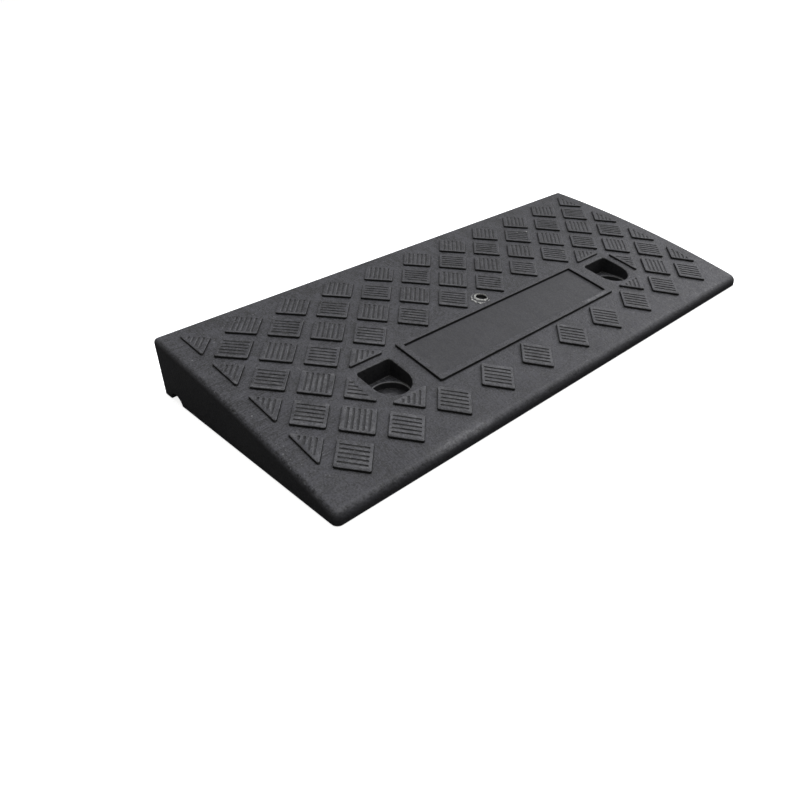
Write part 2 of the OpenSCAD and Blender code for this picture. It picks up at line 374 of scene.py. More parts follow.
def pocket_outline(more):
    """D about the bolt hole, grown by more: half circle to the front, square back."""
    ny, n_half, n_corner = 6, 10, 5
    half, back = POCKET_HALF + more, POCKET_BACK + more
    c = max(POCKET_CORNER + more, 0.5)
    return np.vstack([
        polar((0, 0), half, np.radians(np.linspace(180, 360, 2 * n_half + 1))),
        straight((half, 0), (half, back - c), ny),
        quarter((half - c, back - c), c, 0, n_corner),
        straight((half - c, back), (-half + c, back), ny),
        quarter((-half + c, back - c), c, 90, n_corner),
        straight((-half, back - c), (-half, 0), ny)[:-1]])


def pocket_tool(bore):
    # (outline growth, height): first above the deck, then above the ground
    from_deck = [(POCKET_LIP + 2.4, 2.6), (POCKET_LIP + 0.55, 0.25)]
    for degrees in (78, 62, 46, 30, 14, 0):
        a = math.radians(degrees)
        from_deck.append((POCKET_LIP * (1 - math.cos(a)), -POCKET_LIP * (1 - math.sin(a))))
    from_ground = [(-0.62, LEDGE_Z + 1.5), (-0.78, LEDGE_Z + 0.7),
                   (-1.15, LEDGE_Z + 0.2), (-1.9, LEDGE_Z)]
    rings = []
    for more, z in from_deck:
        xy = pocket_outline(more) + bore
        rings.append(with_z(xy, deck_z(xy[:, 1]) + z))
    for more, z in from_ground:
        rings.append(with_z(pocket_outline(more) + bore, z))
    return solid_of_rings("pocket", rings[::-1])


def dish_tool(bore):
    """Dished seat under the ledge, with a rolled upper edge."""
    profile = [
        (WASHER_R + 0.2, SEAT_Z), (WASHER_R + 0.2, WASHER_TOP),
        (WASHER_R + 0.3, WASHER_TOP + 0.1), (WASHER_R + 0.45, WASHER_TOP + 0.5),
        (DISH_R, LEDGE_Z - 0.85), (DISH_R + 0.12, LEDGE_Z - 0.38),
        (DISH_R + 0.42, LEDGE_Z - 0.1), (DISH_R + 0.85, LEDGE_Z + 0.01),
        (DISH_R + 1.35, LEDGE_Z + 0.5)]
    return disc("dish", bore, profile, n=96)


# ------------------------------------------------------------------ tread
PITCH, ROW_STEP, FIRST_ROW = 46.7, 22.92, 29.1  # along X, along Y, first row from the back
PAD_A = 17.3                         # half diagonal along X
PAD_B = PAD_A * 0.985                # and along Y
PAD_SHAPES = {
    "whole": [(-PAD_A, 0), (0, -PAD_B), (PAD_A, 0), (0, PAD_B)],
    "back": [(-PAD_A, 0), (PAD_A, 0), (0, PAD_B)],
    "front": [(-PAD_A, 0), (0, -PAD_B), (PAD_A, 0)],
    "outer": [(0, -PAD_B), (PAD_A, 0), (0, PAD_B)],
    "inner": [(0, -PAD_B), (0, PAD_B), (-PAD_A, 0)],
}
# (inset, height above the deck) up the rolled edge of a pad
PAD_EDGE = [(-0.2, -1.6), (-0.17, -0.02), (-0.14, 0.25), (-0.01, 1.22), (0.04, 1.43),
            (0.18, 1.58), (0.36, 1.68), (0.6, PAD_H), (1.5, PAD_H), (1.9, PAD_H)]
PAD_CORNER = 1.25
# LIP_H raises a thin strip that carries the painted highlight on the pads' front left edges
LIP_H = 0.045                        # extra height inside the front left edges
GROOVE_PITCH, GROOVE_DEPTH, BORDER = 3.87, 0.7, 2.3
# (half width, height above the deck) up a groove
GROOVE_SECTION = [(0.42, PAD_H - GROOVE_DEPTH), (0.66, PAD_H - GROOVE_DEPTH + 0.1),
                  (0.94, PAD_H - 0.09), (1.06, PAD_H + 0.02), (1.86, PAD_H + 0.9)]


def row_pads(row):
    """(column, shape) of each pad; rows count from the back, rows 4 to 6 have a gap."""
    full = row in (0, 1, 2, 3, 7)
    if row % 2 == 0:
        pads = [(k, "whole") for k in range(-4, 5) if full or abs(k) == 4]
        pads += [(5 * s, "inner") for s in (-1, 1)]
        if not full:
            pads += [(3 * s, "back" if row == 4 else "front") for s in (-1, 1)]
    else:
        pads = [(k + 0.5, "whole") for k in range(-5, 5) if full or abs(k + 0.5) == 4.5]
        if not full:
            pads += [(3.5 * s, "outer") for s in (-1, 1)]
    return pads


def pad_poly(shape, mirrored):
    poly = np.array(PAD_SHAPES[shape], float)
    return (poly * [-1, 1])[::-1] if mirrored else poly


def clip_line(poly, start, way):
    """Range of t for which start + t way is inside a convex counter-clockwise polygon."""
    t0, t1 = -1e9, 1e9
    for i in range(len(poly)):
        a, b = poly[i], poly[(i + 1) % len(poly)]
        edge = b - a
        inward = np.array([-edge[1], edge[0]]) / np.linalg.norm(edge)
        gap, speed = (a - start) @ inward, way @ inward
        if abs(speed) < 1e-9:
            if gap > 0:
                return None
            continue
        t = gap / speed
        if speed > 0:
            t0 = max(t0, t)
        else:
            t1 = min(t1, t)
    return (t0, t1) if t1 - t0 > 0 else None


def add_pad(shell, poly, centre):
    ids = []
    for inset, h in PAD_EDGE:
        r = max(PAD_CORNER - max(inset, 0) * 0.9, 0.35)
        xy = fillet_poly(inset_poly(poly, inset), r, 4) + centre
        heights = np.full(len(xy), float(h))
        # edges that face the camera get the raised strip for the painted highlight
        if 0.5 < inset < 1.6:
            along = np.roll(xy, -1, axis=0) - np.roll(xy, 1, axis=0)
            outward = np.column_stack([along[:, 1], -along[:, 0]])
            outward /= np.linalg.norm(along, axis=1)[:, None]
            facing = outward @ np.array([-0.66, -0.75])
            heights += LIP_H * np.clip((facing - 0.55) / 0.2, 0, 1)
        ids.append(shell.ring(on_deck(xy, heights)))
    shell.loft(ids)
    shell.face(ids[0], up=False)
    # the top closes in two smaller rings and a fan that follow the deck
    middle = xy.mean(0)
    last = ids[-1]
    for k in (0.66, 0.33):
        smaller = shell.ring(on_deck(middle + (xy - middle) * k, PAD_H))
        shell.loft([last, smaller])
        last = smaller
    shell.fan(last, (middle[0], middle[1], float(deck_z(middle[1], PAD_H))))


def slot_outline(u0, u1, half):
    """Slot with round ends from u0 to u1, counter-clockwise."""
    parts = []
    for start, end, side, first in ((u0, u1, 1, -90), (u1, u0, -1, 90)):
        parts.append(polar((end, 0), half, np.radians(np.linspace(first, first + 180, 7))))
        run = np.linspace(end, start, 5)[1:-1]
        parts.append(np.column_stack([run, np.full(len(run), side * half)]))
    return np.vstack(parts)


def add_grooves(shell, poly, centre, shape, rising, rng):
    way = np.array([1, 1 if rising else -1]) / math.sqrt(2)
    across = np.array([-way[1], way[0]])
    inner = inset_poly(poly, BORDER + (0.4 if shape == "whole" else 0.1))
    widen = 1.15 if rising else 0.82
    for k in range(-2, 3):
        offset = k * GROOVE_PITCH
        limits = [clip_line(inner, across * (offset + s), way) for s in (-0.5, 0.5)]
        if None in limits:
            continue
        u0, u1 = max(t[0] for t in limits), min(t[1] for t in limits)
        if u1 - u0 < 1.0:
            continue
        drift = rng.uniform(-0.06, 0.06)
        rings = []
        for half, h in GROOVE_SECTION:
            points = slot_outline(u0, u1, half * widen)
            xy = (centre + np.outer(points[:, 0], way)
                  + np.outer(points[:, 1] + offset + drift, across))
            rings.append(on_deck(xy, h))
        shell.solid(rings)


def tread():
    """Pads with fine grooves: even rows rise towards +X +Y, odd rows fall."""
    rng = np.random.default_rng(11)
    pads, cuts = Shell(), Shell()
    for row in range(8):
        for column, shape in row_pads(row):
            centre = np.array([column * PITCH, HALF_Y - FIRST_ROW - row * ROW_STEP])
            poly = pad_poly(shape, column < 0)
            add_pad(pads, poly, centre)
            add_grooves(cuts, poly, centre, shape, row % 2 == 0, rng)
    pads, cuts = pads.object("pads"), cuts.object("grooves")
    boolean(pads, [cuts], "DIFFERENCE")
    return pads


# ------------------------------------------------------------------ name plate
# (inset, height above the deck) over the frame round the plate, outside to inside
RIM_SECTION = [
    (-0.12, -1.6), (-0.1, -0.02), (0.0, 1.6), (0.06, 1.82), (0.2, 1.95), (0.42, 2.03),
    (0.7, 2.05), (4.2, 2.05), (4.48, 2.03), (4.7, 1.95), (4.82, 1.82), (4.87, 1.6),
    (4.93, -0.02), (4.95, -1.6)]


def rim():
    """Raised frame round the name plate, with rolled edges."""
    shell = Shell()
    ids = []
    for inset, h in RIM_SECTION:
        r = 1.6 if inset < 2 else 5.6
        xy = rect_ring(grown(PLATE, 5.1), inset, r, r, (30, 8, 4))
        ids.append(shell.ring(on_deck(xy, h)))
    shell.loft(ids, closed=True)
    return shell.object("rim")


def plate_solid(name, grow, levels):
    """Curved slab that follows the deck; levels are (inset, height) from the bottom up."""
    counts = (24, 10, 3)
    shell = Shell()
    ids = []
    for inset, h in levels:
        xy = rect_ring(grown(PLATE, grow), inset, 1.2, 1.2, counts)
        ids.append(shell.ring(on_deck(xy, h)))
    shell.loft(ids)
    shell.grid_cap(ids[-1], counts, levels[-1][1])
    shell.grid_cap(ids[0], counts, levels[0][1], up=False)
    return shell.object(name)


# ------------------------------------------------------------------ gate mark
GATE = (-0.4, 0.6)
GATE_R = 4.3                         # radius of the hole where the scar begins
# (radius, height above the deck) of the torn hole
GATE_SECTION = [(1.8, -3.6), (3.3, -3.3), (4.1, -2.0), (GATE_R, -0.6), (4.5, 0.2), (5.4, 2.2)]
# crumbs and smears: x, y, height of the surface, radius, thickness
CRUMBS = [
    (-29.6, -7.6, 0, 1.2, 0.3), (-31.4, -6.4, 0, 0.8, 0.4), (-25.2, -8.6, 0, 0.9, 0.35),
    (-27.2, -10.6, 0, 0.6, 0.3), (-33.6, -12.2, 0, 0.7, 0.25),
    (130.3, 58.6, PAD_H, 1.5, 0.3), (126.6, 61.6, PAD_H, 1.0, 0.25),
    (125.2, 58.6, PAD_H, 0.9, 0.25), (121.4, 63.0, PAD_H, 0.8, 0.2),
    (129.7, 14.1, PAD_H, 0.8, 0.2), (126.4, 9.2, PAD_H, 0.7, 0.2),
    (130.9, -0.6, PAD_H, 0.6, 0.15)]


def wobble(t, seed, amount, low=2, high=9):
    """Sum of random waves round a turn, from low up to high - 1 per turn."""
    rng = np.random.default_rng(seed)
    out = np.zeros_like(t)
    for k in range(low, high):
        out += rng.uniform(-1, 1) * np.cos(k * t + rng.uniform(0, 6.28)) / k ** 0.7
    return out * amount


def gate_radius(r, t):
    """Uneven outline with two lobes: the sprue tore out in two bites."""
    uneven = wobble(t, 3, 0.45)
    lobes = 1 + 0.16 * np.cos(2 * (t - math.radians(-45)))
    return (r * (1 + 0.09 * uneven) + 0.3 * uneven) * lobes


def gate_tool():
    t = turn(64)
    rings = [on_deck(polar(GATE, gate_radius(r, t), t), h) for r, h in GATE_SECTION]
    return solid_of_rings("gate_cut", rings)


def add_torn_lip(shell):
    """Ragged lip and flash round the torn hole; returns how pale each vertex is."""
    rng = np.random.default_rng(5)
    n = 168
    t = turn(n)
    inner = gate_radius(GATE_R, t)
    outer = 8.4 + 3.2 * np.cos(t - math.radians(200)) + wobble(t, 17, 0.55, 3, 14)
    outer = np.clip(outer + rng.uniform(-0.35, 0.35, n), 5.4, 12)
    # the flash is strongest towards the front left
    front = 0.5 + 0.5 * np.cos(t - math.radians(215))
    ids, light = [], []

    def add_ring(across, h, pale):
        xy = polar(GATE, inner + (outer - inner) * across, t)
        ids.append(shell.ring(on_deck(xy, h)))
        light.append(pale)

    steps = np.concatenate([[0.0, 0.06, 0.14], np.linspace(0.22, 1.0, 14)])
    for k, across in enumerate(steps):
        lip = 1.35 * math.exp(-((across - 0.17) / 0.17) ** 2)
        flash = 0.85 * np.exp(-((across - 0.76) / 0.16) ** 2) * (0.12 + 0.88 * front)
        rough = wobble(t, 30 + k // 2, 0.32, 4, 20) + 0.30 * rng.uniform(-1, 1, n)
        h = (lip + flash) * (0.9 + 0.55 * rough) - 0.10 + 0.12 * rough * (across < 0.95)
        if across == 0.0:
            h = np.full(n, -0.4) + 0.1 * rough
        if across == 1.0:
            h = np.full(n, -0.25)
        h = np.clip(h, -0.45, 1.9)
        add_ring(across, h, np.clip(1.3 * (h - 0.02) + 0.5 * rough, 0, 1))
    # underside, sunk into the deck
    add_ring(0.9, -0.9, np.zeros(n))
    add_ring(0.0, -1.1, np.zeros(n))
    shell.loft(ids, closed=True)
    return np.concatenate(light)


def add_crumb(shell, seed, x, y, base, r, thick):
    a = turn(14)
    uneven = 1 + wobble(a, seed, 0.22, 2, 6)
    ids = []
    # (share of the radius, height over the surface)
    for share, h in ((1.0, -0.15), (1.0, thick * 0.02), (0.72, thick * 0.75), (0.4, thick)):
        ids.append(shell.ring(on_deck(polar((x, y), r * share * uneven, a), base + h)))
    shell.loft(ids)
    shell.fan(ids[0], (x, y, float(deck_z(y, base - 0.2))), up=False)
    shell.fan(ids[-1], (x, y, float(deck_z(y, base + thick))))


def sprue_scar():
    shell = Shell()
    light = add_torn_lip(shell)
    for k, crumb in enumerate(CRUMBS):
        add_crumb(shell, 50 + k, *crumb)
    light = np.concatenate([light, np.full(len(shell.verts) - len(light), 0.42)])
    ob = shell.object("sprue_scar")
    paleness = ob.data.attributes.new("paleness", "FLOAT", "POINT")
    paleness.data.foreach_set("value", light.astype(np.float32))
    return ob


# ------------------------------------------------------------------ moulding
ARCH_R, ARCH_TOP, ARCH_FROM_BACK = 9.2, 8, 21.2


def arch_tool():
    """Cable channel along X under the back."""
    yz = polar((HALF_Y - ARCH_FROM_BACK, ARCH_TOP - ARCH_R), ARCH_R, turn(64))
    ends = [np.column_stack([np.full(64, x), yz]) for x in (-HALF_X - 4, HALF_X + 4)]
    return solid_of_rings("arch", ends)


def ramp_moulding():
    body = outer_body()
    boolean(body, [cavity()], "DIFFERENCE")
    boolean(body, all_webs(), "UNION")
    pads = tread()
    boolean(body, [rim()], "UNION")
    boolean(body, [pads], "UNION")
    tools = [plate_solid("recess", 0.15, [(0, -0.6), (0, 0.6), (0, 1.0)])]
    for bore in BORES.values():
        tools += [pocket_tool(bore), dish_tool(bore),
                  disc("bore", bore, [(SLEEVE_R, -2), (SLEEVE_R, SEAT_Z + 0.4)])]
    tools.append(arch_tool())
    for foot in FEET:
        tools.append(disc("socket_head", foot, [(10.1, -2), (10.1, 2.5)]))
        tools.append(disc("socket_stem", foot, [(6.0, -2), (6.0, 7.7)]))
    tools.append(gate_tool())
    boolean(body, tools, "DIFFERENCE")
    return body


# ------------------------------------------------------------------ fittings
# closed (radius, z) profiles
WASHER = [
    (BOLT_R, SEAT_Z + 0.25), (BOLT_R + 0.25, SEAT_Z), (WASHER_R - 0.3, SEAT_Z),
    (WASHER_R, SEAT_Z + 0.3), (WASHER_R, WASHER_TOP - 0.45),
    (WASHER_R - 0.15, WASHER_TOP - 0.15), (WASHER_R - 0.5, WASHER_TOP),
    (BOLT_R + 0.4, WASHER_TOP), (BOLT_R + 0.1, WASHER_TOP - 0.12), (BOLT_R, WASHER_TOP - 0.4)]
SLEEVE = [
    (BOLT_R + 0.5, GAP), (7.1, GAP), (SLEEVE_R, GAP + 0.4), (SLEEVE_R, SEAT_Z - 0.3),
    (7.2, SEAT_Z), (BOLT_R + 0.5, SEAT_Z), (BOLT_R, SEAT_Z - 0.4), (BOLT_R, GAP + 0.5)]
# (radius, z) of a rubber button, from the middle of its foot to the middle of its stem
BUTTON = [
    (0.0, 0.45), (2.2, 0.45), (2.6, 0.0), (4.2, 0.0), (4.6, 0.6), (6.0, 0.6), (6.4, 0.0),
    (9.2, 0.0), (9.75, 0.2), (10.0, 0.7), (10.0, 2.1), (9.7, 2.5), (6.0, 2.5), (6.0, 7.0),
    (5.5, 7.5), (0.0, 7.5)]


def foot_button(name, x, y):
    shell = Shell()
    ids = [shell.ring(with_z(polar((x, y), r, turn(72)), z)) for r, z in BUTTON[1:-1]]
    shell.loft(ids)
    shell.fan(ids[0], (x, y, BUTTON[0][1]), up=False)
    shell.fan(ids[-1], (x, y, BUTTON[-1][1]))
    return shell.object(name)


body = install(ramp_moulding(), 32, "ramp_body")
plate = plate_solid("plate_blank", 0,
                    [(0, -0.55), (0, -0.05), (0.06, 0.1), (0.2, 0.18), (0.4, 0.2)])
install(plate, 40, "name_plate")
washers, sleeves, feet = [], [], []
for side, bore in BORES.items():
    washer = revolve(f"cup_washer_{side}", WASHER, bore)
    washers.append(install(washer, 35, f"seat_washer_{side}"))
    sleeve = revolve(f"steel_sleeve_{side}", SLEEVE, bore)
    sleeves.append(install(sleeve, 35, f"bolt_bush_{side}"))
for x, y in FEET:
    end = "left" if x < 0 else "right" if x > 0 else "middle"
    piece = f"foot_pad_{'front' if y < 0 else 'back'}_{end}"
    feet.append(install(foot_button(piece + "_button", x, y), 35, piece))
scar = install(sprue_scar(), 40)


# ------------------------------------------------------------------ materials
BLACK = (0.0, 0.0, 0.0)


class Nodes:
    """Builds a material round a Principled shader; values are numbers or sockets."""

    def __init__(self, name):
        self.material = bpy.data.materials.new(name)
        self.material.use_nodes = True
        self.tree = self.material.node_tree
        self.tree.nodes.clear()
        self.out = self.new("ShaderNodeOutputMaterial")
        self.bsdf = self.new("ShaderNodeBsdfPrincipled")
        self.put(self.out, 0, self.bsdf.outputs[0])

    @cached_property
    def place(self):
        return self.new("ShaderNodeTexCoord").outputs["Object"]

    def new(self, kind, **settings):
        node = self.tree.nodes.new(kind)
        for key, value in settings.items():
            setattr(node, key, value)
        return node

    def put(self, node, key, value):
        socket = node.inputs[key]
        if isinstance(value, bpy.types.NodeSocket):
            self.tree.links.new(value, socket)
        elif socket.type == "RGBA":
            socket.default_value = (*value, 1)
        else:
            socket.default_value = value

    def surface(self, **values):
        """Sets Principled inputs; underscores stand for spaces."""
        for key, value in values.items():
            self.put(self.bsdf, key.replace("_", " "), value)

    def split(self, vector):
        node = self.new("ShaderNodeSeparateXYZ")
        self.put(node, 0, vector)
        return node.outputs

    def math(self, op, a, b=0.0, c=None, clamp=False):
        node = self.new("ShaderNodeMath", operation=op, use_clamp=clamp)
        self.put(node, 0, a)
        self.put(node, 1, b)
        if c is not None:
            self.put(node, 2, c)
        return node.outputs[0]

    def times(self, product, *factors):
        for factor in factors:
            product = self.math("MULTIPLY", product, factor)
        return product

    def plus(self, a, b, clamp=False):
        return self.math("ADD", a, b, clamp=clamp)

    def minus(self, a, b):
        return self.math("SUBTRACT", a, b)

    def size(self, a):
        return self.math("ABSOLUTE", a)

    def within(self, a, limit):
        return self.math("LESS_THAN", self.size(a), limit)

    def square_sum(self, a, b):
        return self.plus(self.times(a, a), self.times(b, b))

    def swing(self, value, amount):
        """Value centred on 0.5 turned into one centred on 0."""
        return self.times(self.minus(value, 0.5), amount)

    def ramp(self, value, span, to=(0.0, 1.0), kind="SMOOTHSTEP"):
        node = self.new("ShaderNodeMapRange", interpolation_type=kind)
        self.put(node, "Value", value)
        for key, number in zip(("From Min", "From Max", "To Min", "To Max"), (*span, *to)):
            self.put(node, key, number)
        return node.outputs[0]

    def band(self, value, centre, fade):
        """1 about the centre, falling to 0 over the distances in fade."""
        return self.ramp(self.size(self.minus(value, centre)), fade, (1.0, 0.0))

    def noise(self, scale=1.0, detail=3.0, rough=0.55, dist=0.0, stretch=None):
        vector = self.place
        if stretch:
            node = self.new("ShaderNodeVectorMath", operation="MULTIPLY")
            self.put(node, 0, vector)
            self.put(node, 1, stretch)
            vector = node.outputs[0]
        node = self.new("ShaderNodeTexNoise")
        for key, value in (("Vector", vector), ("Scale", scale), ("Detail", detail),
                           ("Roughness", rough), ("Distortion", dist)):
            self.put(node, key, value)
        return node.outputs["Fac"]

    def patches(self, span, to=(0.0, 1.0), **noise):
        return self.ramp(self.noise(**noise), span, to)

    def mix(self, fac, a, b):
        """Mix of two colours."""
        node = self.new("ShaderNodeMix", data_type="RGBA")
        for key, value in ((0, fac), (6, a), (7, b)):
            self.put(node, key, value)
        return node.outputs[2]

    def blend(self, fac, a, b):
        """Mix of two numbers."""
        node = self.new("ShaderNodeMix", data_type="FLOAT")
        for key, value in ((0, fac), (2, a), (3, b)):
            self.put(node, key, value)
        return node.outputs[0]

    def mix_shader(self, fac, a, b):
        node = self.new("ShaderNodeMixShader")
        for key, value in enumerate((fac, a, b)):
            self.put(node, key, value)
        return node.outputs[0]

    def bump(self, height, strength, dist, normal=None):
        node = self.new("ShaderNodeBump")
        self.put(node, "Height", height)
        self.put(node, "Strength", strength)
        self.put(node, "Distance", dist)
        if normal is not None:
            self.put(node, "Normal", normal)
        return node.outputs[0]


class Plastic(Nodes):
    """Recycled black plastic: grain, mottling, flow streaks from the edges, specks and scuffs,
    with painted shade in crevices and painted highlights on edges.

    The smooth kind, for the name plate, is darker with fainter grain and handling marks."""

    def __init__(self, name, smooth=False):
        super().__init__(name)
        self.smooth = smooth
        self.place_fields()
        colour = self.painted_crease_shade(self.grain())
        pale_marks = self.wear_and_highlights()
        if smooth:
            colour = self.mix(0.26, colour, BLACK)
        # pale marks are real scuffs plus painted highlights on edges, pad lips, the ledge and the
        # low edge
        colour = self.mix(self.times(pale_marks, 0.6), colour, (0.34, 0.34, 0.35))
        rough = self.plus(self.swing(self.mid, 0.16), self.swing(self.flow, 0.14))
        rough = self.plus(0.57 if smooth else 0.56, rough)
        # relief of streaks, middle grain and fine grain
        depths = (0.00003,) * 3 if smooth else (0.00016, 0.00010, 0.00007)
        normal = None
        for height, depth in zip((self.times(self.flow, self.zone), self.mid, self.fine), depths):
            normal = self.bump(height, strength=1.0, dist=depth, normal=normal)
        self.surface(Base_Color=colour, Roughness=self.plus(rough, self.times(pale_marks, 0.2)),
                     Specular_IOR_Level=0.34, Normal=normal)

    def place_fields(self):
        """Where a point lies on the ramp and which way it faces."""
        self.x, self.y, self.z = self.split(self.place)
        self.nz = self.split(self.new("ShaderNodeNewGeometry").outputs["True Normal"])[2]
        self.up = self.ramp(self.nz, (0.35, 0.8))
        size_x = self.size(self.x)
        self.from_end = self.minus(0.25, size_x)
        self.from_side = self.minus(0.11, self.size(self.y))
        self.near = self.math("MINIMUM", self.from_end, self.from_side)
        self.patch = self.noise(scale=11, detail=2, rough=0.5)
        # height above the bare deck
        dy = self.minus(self.y, ARC_Y / 1000)
        arc = self.math("SQRT", self.minus((DECK_R / 1000) ** 2, self.times(dy, dy)))
        self.high = self.minus(self.z, self.plus(arc, ARC_Z / 1000))
        # from the nearer bolt axis
        self.bolt_x = self.size(self.minus(self.size(self.x), BORE_X / 1000))
        self.bolt_y = self.minus(self.y, BORE_Y / 1000)

    def grain(self):
        """Flow streaks that run in from the nearest edge, over three sizes of mottling."""
        up, near = self.up, self.near
        toward_end = self.ramp(self.minus(self.from_side, self.from_end), (-0.02, 0.02))
        along_x, along_y = (self.noise(detail=4, rough=0.6, dist=0.5, stretch=stretch)
                            for stretch in ((75, 720, 500), (720, 80, 90)))
        along_z = self.noise(detail=4, rough=0.6, dist=0.4, stretch=(600, 600, 60))
        flow = self.blend(up, along_z, self.blend(toward_end, along_y, along_x))
        self.flow = self.ramp(flow, (0.34, 0.66))
        self.zone = self.times(self.ramp(near, (0.010, 0.060), (0.72, 0.42)),
                               self.blend(up, 0.3, 1.0),
                               self.ramp(self.patch, (0.35, 0.65), (0.55, 1.25)))
        mottle = self.patches(scale=46, detail=4, rough=0.62, dist=0.4, span=(0.32, 0.68))
        self.mid = self.patches(scale=300, detail=4, rough=0.62, dist=0.3, span=(0.33, 0.67))
        self.fine = self.patches(scale=820, detail=3, rough=0.6, span=(0.34, 0.66))
        tone = self.plus(self.times(self.swing(self.flow, 1.0), self.zone),
                         self.swing(mottle, 0.36))
        tone = self.plus(tone, self.plus(self.swing(self.mid, 0.62), self.swing(self.fine, 0.75)))
        contrast = self.blend(up, 0.3, 0.45 if self.smooth else 1.0)
        # painted light: the tone runs paler towards the left end (-X) to even out the sheen the
        # lamps throw along the deck
        base = self.ramp(self.x, (-0.25, 0.25), (0.59, 0.49), kind="LINEAR")
        tone = self.plus(self.times(tone, contrast), base, clamp=True)
        return self.mix(tone, (0.0090, 0.0090, 0.0102), (0.058, 0.058, 0.067))

    def painted_crease_shade(self, colour):
        """Painted shade: steep walls, groove floors and tight corners are darkened towards black.
        """
        nz, high = self.nz, self.high
        top_side = self.ramp(high, (-0.0042, -0.0036))
        in_pocket = self.times(
            self.math("LESS_THAN", self.bolt_x, 0.0178),
            self.within(self.minus(self.bolt_y, 0.0012), 0.0205),
            self.math("GREATER_THAN", self.z, SEAT_Z / 1000 - 0.0005))
        walls = self.times(self.ramp(nz, (0.62, 0.30)), self.ramp(self.near, (0.0045, 0.0065)),
                           self.math("MAXIMUM", top_side, in_pocket))
        floors = self.times(
            self.ramp(high, (0.0006, 0.0007)), self.ramp(high, (0.00155, 0.00125)),
            self.patches(scale=420, detail=3, rough=0.6, span=(0.30, 0.62), to=(0.7, 1.0)))
        dark = self.math("MAXIMUM", self.times(walls, self.blend(in_pocket, 0.85, 0.60)),
                         self.times(floors, 0.48))
        colour = self.mix(dark, colour, BLACK)
        # painted shade in tight corners, taken from an ambient occlusion node
        corners = self.new("ShaderNodeAmbientOcclusion", samples=6, only_local=True)
        self.put(corners, "Distance", 0.0013)
        dark = self.ramp(corners.outputs["AO"], (0.50, 0.97), (0.90, 0.0), kind="LINEAR")
        return self.mix(dark, colour, BLACK)

    def wear_and_highlights(self):
        # handling marks are real scuffs; the edge, lip, ledge and low edge terms add painted
        # highlights
        pale_marks = self.times(self.handling(), self.times(self.up, 0.25 if self.smooth else 1.0))
        edges = self.plus(self.times(self.bevel_wear_and_highlight(), 0.50), self.times(self.painted_lip_highlight(), 0.42))
        pale_marks = self.plus(pale_marks, edges, clamp=True)
        pale_marks = self.plus(pale_marks, self.times(self.painted_ledge_highlight(), 0.85), clamp=True)
        if not self.smooth:
            local = self.math("MAXIMUM", self.front_scuff_and_highlight(), self.rim_streak())
            pale_marks = self.plus(pale_marks, local, clamp=True)
        return pale_marks

    def bevel_wear_and_highlight(self):
        """Rolled edges paled in patches: partly rubbing, partly a painted highlight."""
        return self.times(
            self.ramp(self.nz, (0.93, 0.80)), self.ramp(self.nz, (0.20, 0.45)),
            self.ramp(self.near, (0.006, 0.010)),
            self.patches(scale=150, detail=4, rough=0.65, span=(0.38, 0.64), to=(0.25, 1.0)))

    def painted_lip_highlight(self):
        """Painted highlight on the raised front left lips of the pads, the edges that face the
        camera.
        """
        spots = self.times(
            self.patches(scale=60, detail=3, rough=0.6, span=(0.38, 0.62), to=(0.35, 1.0)),
            self.patches(scale=420, detail=3, rough=0.65, span=(0.36, 0.64), to=(0.25, 1.0)))
        return self.times(
            self.ramp(self.high, (0.001712, 0.001732)), self.ramp(self.high, (0.0018, 0.00176)),
            spots, self.ramp(self.x, (-0.10, 0.20), (1.0, 0.35)))

    def handling(self):
        """Pale specks, grit, short scuffs and rubbed outer edges."""
        cell = self.new("ShaderNodeTexVoronoi")
        self.put(cell, "Vector", self.place)
        self.put(cell, "Scale", 120)
        channels = self.new("ShaderNodeSeparateColor")
        self.put(channels, 0, cell.outputs["Color"])
        speck = self.times(self.math("GREATER_THAN", channels.outputs[0], 0.955),
                           self.ramp(cell.outputs["Distance"], (0.04, 0.10), (1.0, 0.0)))
        grit = self.times(self.patches(scale=620, detail=2, rough=0.5, span=(0.66, 0.72)),
                          self.patches(scale=9, detail=2, rough=0.5, span=(0.52, 0.64)))
        scuff = self.times(
            self.patches(stretch=(300, 60, 150), detail=2, rough=0.5, dist=1.2,
                         span=(0.68, 0.76)),
            self.ramp(self.patch, (0.55, 0.66)))
        rub = self.times(self.ramp(self.near, (0.0005, 0.0055), (1.0, 0.0)),
                         self.patches(scale=240, detail=3, rough=0.6, span=(0.56, 0.68)))
        pale_marks = self.plus(self.times(speck, 0.8), self.times(grit, 0.55))
        return self.plus(pale_marks, self.plus(self.times(scuff, 0.35), self.times(rub, 0.22)),
                         clamp=True)

    def painted_ledge_highlight(self):
        """Painted highlight on the rolled inner edge of the pocket ledge."""
        away = self.math("SQRT", self.square_sum(self.bolt_x, self.bolt_y))
        return self.times(
            self.band(away, centre=DISH_R / 1000 + 0.0001, fade=(0.0003, 0.0007)),
            self.band(self.z, centre=LEDGE_Z / 1000, fade=(0.0005, 0.0012)),
            self.patches(scale=120, detail=3, rough=0.6, span=(0.3, 0.6), to=(0.5, 1.0)))

    def front_scuff_and_highlight(self):
        """Dragged scuff on the low edge, plus a painted highlight along the whole rounding of
        that edge.
        """
        x, y, nz = self.x, self.y, self.nz
        edge = self.math("MULTIPLY_ADD", x, 0.02, -0.1060)
        drag = self.times(
            self.band(x, centre=-0.139, fade=(0.012, 0.044)),
            self.ramp(self.minus(y, edge), (0.0015, 0.0095), (1.0, 0.0)),
            self.ramp(nz, (0.40, 0.72)),
            self.patches(stretch=(150, 330, 200), detail=4, rough=0.65, dist=0.8,
                         span=(0.36, 0.66), to=(0.10, 0.50)),
            self.patches(scale=900, detail=3, rough=0.6, span=(0.34, 0.66), to=(0.55, 1.45)))
